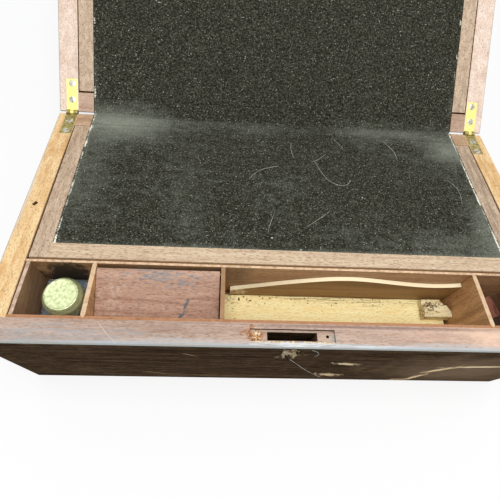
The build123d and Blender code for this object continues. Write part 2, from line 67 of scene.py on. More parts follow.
# %% [markdown]
# Three sizes give every place on the box: how deep it is, and how high it stands at the lock side
# and at the hinges. The rim between those two heights is a slope. A matrix turns places measured
# on a rim into places in the room: along X, along the rim, and out of the wood. The base's rim is
# measured from the lock side's arris, and the lid's from the hinge.

# %% The two rims as frames for placing things
MM = 0.001
DEPTH = 222 * MM
LOCK_HIGH = 119 * MM
HINGE_HIGH = 75 * MM
slope = atan2(LOCK_HIGH - HINGE_HIGH, DEPTH)


def frame_at(origin, along, outward):
    """A matrix whose axes are X, a direction along a rim and the direction out of the wood."""
    turned = Matrix((along.cross(outward), along, outward)).transposed().to_4x4()
    return Matrix.Translation(origin) @ turned


base_rim = frame_at(Vector((0, -DEPTH / 2, LOCK_HIGH)), Vector((0, cos(slope), -sin(slope))),
                    Vector((0, sin(slope), cos(slope))))
lid_out = -Vector(next(j["axis"] for j in frame["joints"] if j["name"] == "flap_catch_turn"))
lid_along = lid_out.cross(Vector((1, 0, 0)))
hinge_axis = sum(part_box("left_hinge_pin"), Vector()) / 2
hinge_axis.x = 0
lid_rim = frame_at(hinge_axis + 0.44 * MM * lid_along - 0.34 * MM * lid_out, lid_along, lid_out)


def extent(name, rim):
    """Lowest and highest corner of a node, measured along a rim."""
    points = [rim.inverted() @ v.co for v in nodes[name].data.vertices]
    return Vector(map(min, zip(*points))), Vector(map(max, zip(*points)))


print("slope", round(degrees(slope), 2), "lid leans", round(degrees(atan2(lid_along.z, lid_along.y)), 2))

# %% [markdown]
# The picture was taken from above the lock side with a wide lens held close, so the box widens
# towards the viewer. The camera stands where the box's corners fall on the same places as in the
# picture, so it also tells where on the box a place in the picture lies.

# %% Camera
CAMERA_PLACE = Vector((-49.1, -173.2, 393.0)) * MM
CAMERA_RIGHT = Vector((0.99711, 0.00199, 0.07589))
CAMERA_UP = Vector((-0.03432, 0.90349, 0.42724))
FOCAL_LENGTH = 31.35      # on a sensor 36 mm wide

camera = bpy.data.objects.new("camera", bpy.data.cameras.new("camera"))
scene.collection.objects.link(camera)
camera.data.lens = FOCAL_LENGTH
camera.data.sensor_width = 36
camera.data.clip_start = 0.02
backward = CAMERA_RIGHT.cross(CAMERA_UP).normalized()
upward = backward.cross(CAMERA_RIGHT).normalized()
turned = Matrix((CAMERA_RIGHT, upward, backward)).transposed().to_4x4()
camera.matrix_world = Matrix.Translation(CAMERA_PLACE) @ turned
scene.camera = camera
scene.view_settings.view_transform = "Standard"
HALF_PICTURE = 250        # the picture is 500 pixels wide and high
FOCAL_PIXELS = FOCAL_LENGTH / camera.data.sensor_width * 2 * HALF_PICTURE


def seen_at(px, py, spot, outward):
    """The place in mm, on a flat face of the box, that the picture shows at a pixel."""
    ray = CAMERA_RIGHT * (px - HALF_PICTURE) + upward * (HALF_PICTURE - py) - backward * FOCAL_PIXELS
    return (CAMERA_PLACE + ray * outward.dot(spot - CAMERA_PLACE) / outward.dot(ray)) / MM


print("camera", [round(c / MM) for c in CAMERA_PLACE], "mm, lens", FOCAL_LENGTH)

# %% [markdown]
# Colours are written as they look on paper, in sRGB. Shaders work in linear light, so one function
# turns them. A second function adds any shader node with its settings, its links and the stops of
# its ramp.

# %% Colours and shader nodes
def linear(code):
    """An sRGB hex colour as the linear colour that shaders use."""
    parts = [int(code[i:i + 2], 16) / 255 for i in (1, 3, 5)]
    return [p / 12.92 if p <= 0.04045 else ((p + 0.055) / 1.055) ** 2.4 for p in parts] + [1.0]


def add(tree, kind, links=None, stops=None, **settings):
    """Add a shader node; links maps its inputs to values or to other nodes' outputs."""
    made = tree.nodes.new("ShaderNode" + kind)
    for name, value in settings.items():
        setattr(made, name, value)
    for place, value in (links or {}).items():
        if isinstance(value, bpy.types.NodeSocket):
            tree.links.new(value, made.inputs[place])
        else:
            made.inputs[place].default_value = value
    if stops:
        ramp = made.color_ramp
        while len(ramp.elements) < len(stops):
            ramp.elements.new(0.5)
        for element, (position, shade) in zip(ramp.elements, stops):
            element.position = position
            element.color = linear(shade) if isinstance(shade, str) else (shade, shade, shade, 1)
    return made


def reckon(tree, operation, *values):
    """The result of a sum on values or on other nodes' outputs."""
    return add(tree, "Math", dict(enumerate(values)), operation=operation).outputs[0]


def start_material(name, roughness=0.6, **values):
    """A new material with its shader, and the piece's own coordinates in metres."""
    material = bpy.data.materials.new(name)
    material.use_nodes = True
    tree = material.node_tree
    shader = tree.nodes["Principled BSDF"]
    shader.inputs["Roughness"].default_value = roughness
    for key, value in values.items():
        shader.inputs[key.replace("_", " ")].default_value = value
    return material, tree, shader, add(tree, "TexCoord")


def blend(tree, mask, under, shade):
    """Lay a colour over another where a mask is white."""
    top = shade if isinstance(shade, bpy.types.NodeSocket) else linear(shade)
    return add(tree, "Mix", {0: mask, 6: under, 7: top}, data_type="RGBA").outputs[2]


def ramp(tree, value, *stops):
    """A mask or colour that follows a value."""
    return add(tree, "ValToRGB", {0: value}, stops=stops).outputs[0]


# %% [markdown]
# The light is plain and soft: an even pale sky, and one broad lamp overhead which
# gives the rooms their shadows. The floor is white paper. The camera, glossy surfaces and glass
# see plain white behind the box.

# %% Light and floor
SKY = 0.60
LAMP_POWER = 12.5
LAMP_PLACE = Vector((0.05, -0.25, 1.4))
LAMP_SIZE = 0.8

world = bpy.data.worlds.new("soft_sky")
scene.world = world
world.use_nodes = True
sky = world.node_tree
sky.nodes["Background"].inputs["Strength"].default_value = SKY
sky.nodes["Background"].inputs["Color"].default_value = linear("#FAFBFF")
white = add(sky, "Background", {"Color": linear("#FFFFFF"), "Strength": 1.0})
seen = add(sky, "LightPath")
some = reckon(sky, "MAXIMUM", seen.outputs["Is Camera Ray"], seen.outputs["Is Transmission Ray"])
some = reckon(sky, "MAXIMUM", some, seen.outputs["Is Glossy Ray"])
shown = add(sky, "MixShader", {0: some, 1: sky.nodes["Background"].outputs[0], 2: white.outputs[0]})
sky.links.new(shown.outputs[0], sky.nodes["World Output"].inputs["Surface"])

lamp = bpy.data.objects.new("broad_lamp", bpy.data.lights.new("broad_lamp", "AREA"))
scene.collection.objects.link(lamp)
lamp.data.size = LAMP_SIZE
lamp.data.energy = LAMP_POWER
lamp.location = LAMP_PLACE
lamp.rotation_mode = "QUATERNION"
lamp.rotation_quaternion = (LAMP_PLACE - Vector((0, 0, 0.05))).to_track_quat("Z", "Y")

bpy.ops.mesh.primitive_plane_add(size=12, location=(0, 0, 0))
floor = bpy.context.object
floor.name = "paper_floor"
paper, tree, shader, place = start_material("white_paper", roughness=0.9, Specular_IOR_Level=0.1)
shader.inputs["Base Color"].default_value = linear("#F7F7F6")
glow = add(tree, "Emission", {"Color": linear("#FFFFFF"), "Strength": 1.0})
path = add(tree, "LightPath")
share = reckon(tree, "MULTIPLY", path.outputs["Is Camera Ray"], 0.75)
both = add(tree, "MixShader", {0: share, 1: shader.outputs[0], 2: glow.outputs[0]})
tree.links.new(both.outputs[0], tree.nodes["Material Output"].inputs["Surface"])
floor.data.materials.append(paper)
print("lit by a sky of", SKY, "and a lamp of", LAMP_POWER, "W")

# %% [markdown]
# Mahogany, pine and the pale wood of the pen tray are all seen as the same three things at
# different strengths: broad bands of growth along the board, fine fibres, and the open pores that
# a plane cuts lengthwise into short dark dashes. One function draws them from real widths. Pores
# are a quarter of a millimetre wide on the real wood, finer than the picture shows, so they are
# drawn three times as wide.

# %% Grain of a planed board
PORE = 0.75 * MM


def stretched(tree, place, width, ratio, along, seed=0.0):
    """Coordinates in which a noise of size one is a streak of a given width along an axis."""
    scale = [1 / width] * 3
    scale["XYZ".index(along)] = 1 / (width * ratio)
    return add(tree, "Mapping", {"Vector": place.outputs["Object"], "Scale": scale,
                                 "Location": [seed, seed * 1.7, seed * 0.6]}).outputs[0]


def grain(tree, place, light, dark, pore, along="X", band=7 * MM, fibre=1.1 * MM, pores=0.4, seed=0.0,
          bands=0.6):
    """Colour and height of planed wood whose grain runs along one of the piece's own axes."""
    growth = add(tree, "TexNoise", {"Vector": stretched(tree, place, band, 14, along, seed),
                                    "Scale": 1.0, "Detail": 3.0, "Roughness": 0.6, "Distortion": 0.5})
    fibres = add(tree, "TexNoise", {"Vector": stretched(tree, place, fibre, 7, along, seed),
                                    "Scale": 1.0, "Detail": 3.0, "Roughness": 0.8})
    dashes = add(tree, "TexNoise", {"Vector": stretched(tree, place, PORE, 4, along, seed + 9),
                                    "Scale": 1.0, "Detail": 1.0})
    tone = reckon(tree, "MULTIPLY", growth.outputs[0], bands)
    tone = reckon(tree, "MULTIPLY_ADD", fibres.outputs[0], 1 - bands, tone)
    base = ramp(tree, tone, (0.38, dark), (0.60, light))
    cut = ramp(tree, dashes.outputs[0], (0.32, pores), (0.47, 0.0))
    height = reckon(tree, "MULTIPLY_ADD", cut, -0.8, tone)
    return blend(tree, cut, base, pore), height


def finish_wood(tree, shader, colour, height, depth=0.10 * MM):
    """Link a wood's colour and its relief to the shader."""
    tree.links.new(colour, shader.inputs["Base Color"])
    relief = add(tree, "Bump", {"Height": height, "Distance": depth, "Strength": 0.6})
    tree.links.new(relief.outputs[0], shader.inputs["Normal"])


# %% [markdown]
# Stains, bruises, rubbed places and painted shade are not spread evenly, so they can't come from noise
# alone.
# Each is an oval mask at its place on the box, in metres, whose edge is made ragged by noise. A
# scratch is the same oval, drawn very long and thin. Patches that lie anywhere come from noise. A
# mark is written as its shade, its centre and reach in mm, how ragged, how soft and how strong it
# is, and its turn in degrees.

# %% Masks for marks
def patches(tree, place, size, low, high, seed=0.0, stretch=1.0, along="X"):
    """A mask of irregular patches of about a given size, from 0 to 1."""
    cloud = add(tree, "TexNoise", {"Vector": stretched(tree, place, size, stretch, along, seed),
                                   "Scale": 1.0, "Detail": 4.0, "Roughness": 0.65})
    return ramp(tree, cloud.outputs[0], (low, 0.0), (high, 1.0))


def mark(tree, place, centre, reach, ragged, soft, strength=1.0, turn=(0, 0, 0)):
    """A mask, white in an oval round a place; its centre, reach and turn are in mm and degrees."""
    moved = add(tree, "Mapping", {"Vector": place.outputs["Object"],
                                  "Location": [c * MM for c in centre],
                                  "Rotation": [radians(t) for t in turn],
                                  "Scale": [r * MM for r in reach]}, vector_type="TEXTURE")
    grit = add(tree, "TexNoise", {"Vector": moved.outputs[0], "Scale": 2.4, "Detail": 4.0,
                                  "Roughness": 0.6}, normalize=False)
    spread = add(tree, "VectorMath", {0: grit.outputs["Color"], 1: (ragged,) * 3,
                                      2: moved.outputs[0]}, operation="MULTIPLY_ADD")
    ball = add(tree, "TexGradient", {0: spread.outputs[0]}, gradient_type="SPHERICAL")
    return ramp(tree, ball.outputs["Fac"], (0.0, 0.0), (soft, strength))


def add_marks(tree, place, colour, marks):
    """Lay marks over a colour, first to last."""
    for shade, *shape in marks:
        colour = blend(tree, mark(tree, place, *shape), colour, shade)
    return colour


# %% [markdown]
# The boards of the box were polished outside, and the polish has gone almost black. The rims were
# never polished: they are bare wood, orange at the sides and a greyer pink along the lock side,
# where hands and damp have bleached the arris to a pale blue-grey. Which finish a spot gets
# depends on the way its face looks: out of the rim, outwards, or into the box.

# %% Old mahogany boards
BASE_OUT = base_rim.to_3x3().col[2]
BASE_MIDDLE = Vector((0, 0, 50 * MM))
LID_OUT = lid_rim.to_3x3().col[2]
LID_MIDDLE = sum(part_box("lid_top_board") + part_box("lid_flap_panel"), Vector()) / 4


def old_mahogany(name, rim_out, middle, along, rim_light, rim_dark, rim_marks=(), face_marks=(),
                 bands=0.6, polish="#524232", arris_shade="#BFB7AC"):
    """Carcass wood: bare on the rim, black old polish outside, plain brown inside."""
    material, tree, shader, place = start_material(name, roughness=0.5)
    bare, height = grain(tree, place, rim_light, rim_dark, "#8A6848", along, pores=0.45, bands=bands)
    polished, _ = grain(tree, place, polish, "#2A1F17", "#1A110C", along, band=4 * MM, pores=0.6)
    streaks = patches(tree, place, 1.6 * MM, 0.56, 0.72, seed=5.0, stretch=9.0, along=along)
    polished = blend(tree, streaks, polished, "#6E5A42")
    plain, _ = grain(tree, place, "#A07A58", "#7E5A3C", "#4C3020", along, seed=3.0)
    looks = add(tree, "VectorMath", {0: place.outputs["Normal"], 1: rim_out}, operation="DOT_PRODUCT")
    rim = ramp(tree, looks.outputs["Value"], (0.88, 0.0), (0.97, 1.0))
    offset = add(tree, "VectorMath", {0: place.outputs["Object"], 1: middle}, operation="SUBTRACT")
    outward = add(tree, "VectorMath", {0: place.outputs["Normal"], 1: offset.outputs[0]},
                  operation="DOT_PRODUCT")
    outside = reckon(tree, "GREATER_THAN", outward.outputs["Value"], 0.0)
    outer = add_marks(tree, place, polished, face_marks)
    colour = blend(tree, outside, plain, outer)
    colour = blend(tree, rim, colour, add_marks(tree, place, bare, rim_marks))
    arris = ramp(tree, looks.outputs["Value"], (0.45, 0.0), (0.65, 1.0))
    colour = blend(tree, reckon(tree, "SUBTRACT", arris, rim), colour, arris_shade)
    shader.inputs["Specular IOR Level"].default_value = 0.0      # the polish has gone matt
    gloss = add(tree, "MapRange", {0: rim, 3: 0.55, 4: 0.75})
    tree.links.new(gloss.outputs[0], shader.inputs["Roughness"])
    finish_wood(tree, shader, colour, height)
    return material


side_marks = [
    ("#C28C5A", (-190, 60, 85), (9, 40, 20), 1.2, 1.0, 0.6),
    ("#8E6A48", (-186, 98, 78), (6, 16, 20), 1.4, 0.9, 0.8),
    ("#B98A5E", (190, 70, 85), (8, 46, 20), 1.2, 1.0, 0.6),
    ("#DDD3C4", (-199.5, -20, 100), (3.2, 120, 30), 1.0, 0.7, 0.8),
    ("#DDD3C4", (199.5, -20, 100), (3.2, 120, 30), 1.0, 0.7, 0.8),
    ("#6E5136", (-183.2, 0, 97), (0.7, 120, 40), 0.2, 0.5, 0.8),
    ("#6E5136", (183.2, 0, 97), (0.7, 120, 40), 0.2, 0.5, 0.8),
]
lock_rim_marks = [
    ("#9DA3A6", (-150, -106, 118), (80, 9, 30), 0.9, 1.0, 0.7),
    ("#8E6E60", (-60, -99, 117), (90, 4.5, 20), 0.9, 1.0, 0.55),
    ("#DDB59C", (110, -101, 117), (80, 7, 20), 0.9, 1.0, 0.6),
    ("#F6D2B8", (136, -100, 117), (30, 14, 24), 0.4, 1.0, 0.85),
    ("#7A5E54", (60, -95.6, 116), (150, 1.6, 20), 0.5, 0.8, 0.7),
    ("#AEB6BA", (-60, -111, 119), (190, 5.0, 30), 0.7, 0.75, 0.9),
    ("#B9C2C6", (110, -111, 119), (130, 5.0, 30), 0.7, 0.75, 0.9),
    ("#D8D0C6", (-121, -101, 118), (11, 0.35, 12), 0.2, 0.5, 0.6, (0, 0, -48)),
    ("#D8D0C6", (-112, -110, 118), (8, 0.35, 12), 0.2, 0.5, 0.5, (0, 0, -46)),
    ("#A8683A", (-27, -101.5, 117), (7, 6.0, 9), 1.0, 0.5, 0.9),
    ("#E2C8A8", (-24, -99, 117), (6, 2.2, 9), 1.0, 0.5, 0.6),
    ("#DCE2E2", (4, -108.6, 118), (30, 2.4, 9), 0.9, 0.5, 0.85),
    ("#DCE2E2", (50, -109.2, 118), (24, 1.6, 9), 0.9, 0.6, 0.7),
    ("#C9B090", (21, -103, 117), (4.5, 4, 9), 0.8, 0.6, 0.7),
    ("#9AA8A0", (27, -103, 117), (3, 4, 9), 0.6, 0.7, 0.7),
]
lock_face_marks = [
    ("#7E6A56", (150, -111, 55), (90, 5, 80), 0.3, 1.0, 0.85),
    ("#E0C69C", (121, -111, 20), (3.6, 3, 20), 0.45, 0.6, 1.0, (0, 12, 0)),
    ("#E0C69C", (127, -111, 54), (4.6, 3, 20), 0.45, 0.6, 1.0, (0, 32, 0)),
    ("#E6D0A8", (152, -111, 68), (28, 3, 4.0), 0.5, 0.6, 1.0, (0, -8, 0)),
    ("#C9AE86", (110, -111, 6), (12, 3, 4), 0.9, 0.6, 1.0, (0, -18, 0)),
    ("#E0CBA6", (47, -111, 71), (11, 3, 4.2), 0.7, 0.5, 1.0, (0, 14, 0)),
    ("#D8C096", (44, -111, 25), (12, 3, 6.5), 0.8, 0.5, 1.0, (0, 20, 0)),
    ("#9A8468", (-68, -111, 94), (9, 3, 0.9), 0.4, 0.6, 1.0, (0, 45, 0)),
    ("#8E785C", (-98, -111, 22), (20, 3, 2.0), 0.8, 0.7, 1.0, (0, 28, 0)),
    ("#7C6850", (-60, -111, 12), (70, 3, 7), 1.2, 0.9, 0.7),
    ("#6C5844", (-150, -111, 30), (30, 3, 16), 1.2, 1.0, 0.4),
    ("#18100C", (0, -111, 109), (220, 3, 5), 1.0, 1.0, 0.6),
    ("#B8A888", (0, -108, 100), (8.5, 6, 14), 0.7, 0.35, 0.9),
    # The mark below darkens the inside of the keyhole: painted shade.
    ("#3A2A1C", (1, -106, 101), (4.0, 5, 6), 0.7, 0.5, 0.9),
]
side_wood = old_mahogany("old_mahogany_sides", BASE_OUT, BASE_MIDDLE, "Y", "#F3D5A2", "#DDB078",
                         side_marks, bands=0.75)
lock_wood = old_mahogany("old_mahogany_lock_side", BASE_OUT, BASE_MIDDLE, "X", "#CDB5A6", "#A9907F",
                         lock_rim_marks, lock_face_marks, bands=0.5, arris_shade="#A3A8A4")
hinge_wood = old_mahogany("old_mahogany_hinge_side", BASE_OUT, BASE_MIDDLE, "X", "#CDAE90", "#A88768")
lid_side_wood = old_mahogany("old_mahogany_lid_sides", LID_OUT, LID_MIDDLE, "Y", "#F6E2D2", "#DCC2AC")
lid_wood = old_mahogany("old_mahogany_lid", LID_OUT, LID_MIDDLE, "X", "#D2B6A2", "#B0927C")
print("old mahogany on five kinds of board")

# %% [markdown]
# The thin boards of the rooms and the veneer border of the flaps are mahogany too, with their own
# colours. Their top arrises have been rubbed pale. The pen tray and its slip are of a pale wood,
# cream and clean where the pens rolled, with dark specks of dirt along the back. Some colours here
# are painted shade: the dark floors of the rooms, three dark marks on the partition, a shadow along
# the back of the tray under the slip, and the brown of the slip's faces. A pale patch at the slip's
# left end is a painted highlight.

# %% Thin boards, borders, pine and the pale tray
def plain_wood(name, light, dark, pore, along, worn=None, marks=(), roughness=0.6, rub=(0.3, 0.62),
               **more):
    """A planed board; where its face looks out of the base's rim it may be rubbed pale."""
    material, tree, shader, place = start_material(name, roughness=roughness)
    colour, height = grain(tree, place, light, dark, pore, along, **more)
    colour = add_marks(tree, place, colour, marks)
    if worn:
        looks = add(tree, "VectorMath", {0: place.outputs["Normal"], 1: BASE_OUT},
                    operation="DOT_PRODUCT")
        top = ramp(tree, looks.outputs["Value"], (0.8, 0.0), (0.95, 1.0))
        rubbed = reckon(tree, "MULTIPLY", top, patches(tree, place, 3 * MM, *rub))
        colour = blend(tree, rubbed, colour, worn)
    finish_wood(tree, shader, colour, height)
    return material


divider_wood = plain_wood("thin_mahogany_dividers", "#E6B882", "#B4875A", "#5E4026", "Z", "#DCC2A2")
middle_wood = plain_wood("thin_mahogany_middle_divider", "#B58E66", "#8E6844", "#553820", "Z", "#A07854")
liner_wood = plain_wood("thin_mahogany_front_liner", "#B88458", "#94643C", "#56361C", "X", "#B4805A")
side_liner_wood = plain_wood("thin_mahogany_side_liners", "#B08C6C", "#8C6A4C", "#563A24", "Y", "#D9BFA6")
# All three marks on the partition are painted shade: round the middle divider, low along it above the pen
# tray, and on the back wall of the left room.
partition_painted_shade = [
    ("#4A3420", (-42, -52, 95), (28, 4, 34), 0.5, 0.9, 0.6),
    ("#6E4E32", (0, -51.5, 60), (190, 4, 22), 0.8, 1.0, 0.7),
    ("#2A1D10", (-160, -52, 80), (24, 4, 36), 0.4, 0.4, 0.95),
]
partition_wood = plain_wood("partition_mahogany", "#CBA47A", "#A57C52", "#6A4828", "X", "#E9C9A6",
                            partition_painted_shade)
border_x = plain_wood("border_veneer_front", "#DCC6A8", "#BFA182", "#7C5E44", "X", pores=0.6,
                      band=3 * MM, fibre=0.9 * MM)
border_marks = [("#8C6A50", (-176, 60, 88), (9, 60, 20), 1.0, 1.0, 0.45),
                ("#85705C", (176, 40, 88), (10, 90, 24), 1.0, 0.8, 0.75)]
border_y = plain_wood("border_veneer_sides", "#D2BCA0", "#AE9278", "#71563E", "Y", marks=border_marks,
                      pores=0.6, band=3 * MM, fibre=0.9 * MM)
pine = plain_wood("pine_inner_boards", "#CFA774", "#AE8250", "#7E5A34", "X", pores=0.2)
# The floors of the rooms and the block in the right room are painted dark brown: painted shade.
floor_wood_painted_shade = plain_wood("room_floor_painted_shade", "#5E4632", "#3C2A1C", "#20140C", "X")
# Both marks on the tray are painted shadow: a band along its back, under the slip, and its back corner by
# the middle divider.
tray_painted_shade = [
    ("#7A6438", (40, -56.0, 60), (100, 3.6, 5), 1.5, 0.5, 0.7),
    ("#8A7446", (-42, -56, 60), (12, 8, 5), 1.2, 0.5, 0.6),
]
tray_wood = plain_wood("pale_tray_wood", "#FFF3B8", "#F8DF98", "#B89A5C", "X", marks=tray_painted_shade,
                       pores=0.4, band=2.5 * MM)
# The slip is the tray's pale wood: the brown of its faces is painted shade, its top keeps the pale colour,
# and the pale patch at its left end is a painted highlight.
slip_painted_highlight = [("#FFF4CC", (-36, -53, 70), (14, 4, 12), 0.6, 0.6, 0.7)]
slip_wood_painted_light = plain_wood("pale_slip_wood_painted_light", "#A88450", "#8A6636", "#4E3418", "X", "#FFF2CA", slip_painted_highlight,
                       pores=0.25, rub=(0.05, 0.35))
print("thin woods ready")

# %% [markdown]
# The lid of the middle room is red-brown mahogany, stained blue-grey by spilt ink: a long ragged
# stain across its upper right, and one curved smear that a wet ring left.

# %% Stained compartment lid
lid_stains = [
    ("#8A8684", (-84, -58, 103), (26, 7, 9), 1.8, 0.35, 0.75),
    ("#6C7074", (-98, -60, 103), (16, 3.0, 9), 1.6, 0.4, 0.7),
    ("#74767A", (-72, -63, 102), (14, 4, 9), 1.9, 0.35, 0.7),
    ("#4C545C", (-71.5, -77, 97), (1.8, 6, 8), 0.5, 0.5, 1.0, (0, 0, -20)),
    ("#4C545C", (-74.5, -84.5, 95), (1.8, 5, 8), 0.5, 0.5, 1.0, (0, 0, -42)),
    ("#C4AE98", (-122, -72, 99), (9, 12, 12), 1.6, 0.6, 0.55),
    ("#76655C", (-104, -78, 97), (4, 7, 8), 1.2, 0.7, 0.5),
    ("#5A4640", (-92, -84, 95), (5, 3, 8), 1.5, 0.7, 0.4),
]
small_lid_wood = plain_wood("ink_stained_mahogany", "#BE9880", "#9A6E54", "#4E3428", "X",
                            marks=lid_stains, pores=0.5, fibre=1.3 * MM)
loose_wood = plain_wood("dark_loose_stick", "#94604E", "#5C3226", "#2A150E", "Y", roughness=0.3)

# %% [markdown]
# Brass goes olive where nobody touches it and stays yellow where it is rubbed. The base's hinge
# leaves are dull, the lid's are bright, and the cap of the ink bottle has a thin greenish skin.
# Steel screws have gone grey. Metal is told apart from paint by its reflections, so these keep
# the metallic shader and take their change of colour from blotches a few millimetres wide.

# %% Brass, steel, leather and glass
def aged_metal(name, bright, dull, low, high, roughness, metallic=0.9):
    """Aged metal: bright where it is rubbed, dull in patches."""
    material, tree, shader, place = start_material(name, roughness=roughness, Metallic=metallic)
    blotch = patches(tree, place, 2.5 * MM, low, high)
    colour = add(tree, "Mix", {0: blotch, 6: linear(bright), 7: linear(dull)}, data_type="RGBA")
    tree.links.new(colour.outputs[2], shader.inputs["Base Color"])
    rough = add(tree, "MapRange", {0: blotch, 3: roughness * 0.8, 4: min(1.0, roughness * 1.5)})
    tree.links.new(rough.outputs[0], shader.inputs["Roughness"])
    return material


dull_brass = aged_metal("dull_brass", "#C2B47A", "#8A7E4E", 0.35, 0.6, 0.45)
bright_brass = aged_metal("bright_brass", "#FFF59C", "#E6CE62", 0.45, 0.75, 0.3)
cap_brass = aged_metal("greenish_cap_brass", "#E8F2C2", "#B2BE86", 0.40, 0.68, 0.45, 0.6)
steel = aged_metal("screw_steel", "#D8D4C6", "#8E897A", 0.4, 0.65, 0.4)
leather, tree, shader, place = start_material("cap_leather", roughness=0.8)
shade = ramp(tree, add(tree, "TexNoise", {"Vector": place.outputs["Object"], "Scale": 800.0}).outputs[0],
             (0.35, "#3A2417"), (0.65, "#5E4028"))
tree.links.new(shade, shader.inputs["Base Color"])
glass, tree, shader, place = start_material("pressed_glass", roughness=0.08, IOR=1.5)
shader.inputs["Transmission Weight"].default_value = 0.75
shade = ramp(tree, patches(tree, place, 6 * MM, 0.4, 0.6), (0.0, "#B9CAD8"), (1.0, "#DDE8EE"))
tree.links.new(shade, shader.inputs["Base Color"])
print("metals, leather and glass ready")

# %% [markdown]
# Velvet is a short upright pile on a woven back. It swallows light, so it looks olive black, and
# it turns grey-green where the pile is crushed or dusty and shows its cream back where an edge has
# worn through. Along the base's front edge, the same grey and cream are a painted highlight. Each
# sheet of it is a grid at its size, whose points are moved by listed and random unevenness, and
# which is then given its thickness. The wear, the dust and that highlight are stored on the points
# of the sheet, and the shader mixes them with a fine mottle of lint.

# %% Velvet's finish
velvet, tree, shader, place = start_material("worn_velvet", roughness=1.0, Specular_IOR_Level=0.15)
pile = add(tree, "TexNoise", {"Vector": place.outputs["Object"], "Scale": 1 / (1.5 * MM), "Detail": 4.0,
                              "Roughness": 0.75})
base = ramp(tree, pile.outputs[0], (0.36, "#14150F"), (0.50, "#2C2C22"), (0.64, "#5A5A4C"))
lint = add(tree, "TexNoise", {"Vector": place.outputs["Object"], "Scale": 1 / (1.1 * MM), "Detail": 1.0})
flecks = ramp(tree, lint.outputs[0], (0.67, 0.0), (0.76, 0.9))
colour = blend(tree, flecks, base, "#B4B6AA")
# The first attribute holds dust and crushed pile, and a painted highlight along the cloth's front edge.
dust_and_highlight = add(tree, "Attribute", attribute_name="dust_and_edge_highlight")
mottle = reckon(tree, "MULTIPLY", dust_and_highlight.outputs["Fac"], pile.outputs[0])
mottle = add(tree, "Math", {0: mottle, 1: 1.9}, operation="MULTIPLY", use_clamp=True)
colour = blend(tree, mottle.outputs[0], colour, "#8A8E80")
# The second holds the cream of worn edges, and cream flecks of painted highlight along the front edge.
worn = add(tree, "Attribute", attribute_name="wear_and_edge_highlight")
frayed_and_highlight = reckon(tree, "MULTIPLY", worn.outputs["Fac"], lint.outputs[0])
frayed_and_highlight = ramp(tree, frayed_and_highlight, (0.24, 0.0), (0.40, 1.0))
colour = blend(tree, frayed_and_highlight, colour, "#F2EEDC")
tree.links.new(colour, shader.inputs["Base Color"])
relief = add(tree, "Bump", {"Height": pile.outputs[0], "Distance": 0.25 * MM, "Strength": 0.7})
tree.links.new(relief.outputs[0], shader.inputs["Normal"])

# %% [markdown]
# One cloth runs from the edge of the base's flap, over both hinged rails, to the far edge of the
# lid's flap. It spans three joints, so it is cut into three sheets, each laid over the piece before
# a joint and the piece after it as they lie at rest. Places on the cloth are given by X and by the
# distance along it, which is the distance along the base's rim and then along the lid's.

# %% Cloth, its unevenness and its wear
PILE_TOP = -0.2 * MM
CLOTH = 0.85 * MM
CELL = 1.4 * MM
LID_FROM = 227 * MM      # the distance along the cloth at which the lid's rim begins

low, high = extent("base_flap_velvet", base_rim)
HALF = high.x
FLAP_FRONT, FLAP_BACK = low.y, high.y
low, high = extent("base_rail_velvet", base_rim)
RAIL_FRONT, RAIL_BACK = low.y, high.y
low, high = extent("lid_rail_velvet", lid_rim)
LID_RAIL_START, LID_RAIL_END = low.y, high.y
low, high = extent("lid_flap_velvet", lid_rim)
LID_START, LID_END = low.y, high.y


def cloud(x, y, size, seed=0.0):
    """Smooth noise from -1 to 1 with features of about a given size."""
    return noise.noise(Vector((x / size, y / size, seed)))


def bump(distance, reach):
    """1 at a distance of nought, falling smoothly to 0 over a reach."""
    return exp(-(distance / reach) ** 2)


def cloth_height(x, d):
    """Unevenness of the cloth: waves, glued edges pressed down, a dip over each flap's joint."""
    edge = min(HALF - abs(x), d - FLAP_FRONT, LID_FROM + LID_END - d)
    wave = 0.10 * cloud(x, d, 42 * MM) + 0.07 * cloud(x, d * 1.7, 13 * MM, 4)
    wave += 0.05 * cloud(x, d, 4 * MM, 7)
    joints = (FLAP_BACK + RAIL_FRONT) / 2, LID_FROM + (LID_RAIL_END + LID_START) / 2
    dip = sum(bump(d - joint, 1.2 * MM) for joint in joints)
    return (wave - 0.30 * bump(edge, 1.0 * MM) - 0.35 * dip) * MM


def cloth_dust_and_edge_highlight(x, d):
    """Dust and crushed pile: clouds, streaks along X, and more near the hinge and the corners;
    along the front edge it is a painted highlight.
    """
    across, t = x / MM, d / MM
    amount = (0.0 if d < LID_FROM else -0.10) + 0.12 * cloud(x, d, 55 * MM, 1)
    amount += 0.10 * cloud(x, d * 4, 30 * MM, 2)
    amount += 0.16 * cloud(x, d * 2, 9 * MM, 5)
    amount += 0.28 * bump(across + 150, 26) * bump(t - 205, 22)
    amount += 0.26 * bump(across + 118, 26) * bump(t - 205, 18)
    amount += 0.34 * bump(across - 120, 42) * bump(t - 222, 10)
    amount += 0.55 * bump(across + 145, 42) * bump(t - 219, 16)
    amount += 0.12 * bump(t - 218, 9) + 0.20 * bump(across + 158, 16) * bump(t - 160, 60)
    amount += 0.25 * bump(across - 135, 24) * bump(t - 86, 12)
    amount += 0.75 * bump(across - 160, 20) * bump(t - 200, 16)
    amount += 0.4 * bump(across - 163, 10) * bump(t - 105, 40)
    # Its last term lightens the front edge of the cloth: a painted highlight.
    amount += 0.16 * bump(HALF / MM - abs(across), 4) + 0.30 * bump(t - FLAP_FRONT / MM, 1.6)
    return max(0.0, min(1.0, amount))


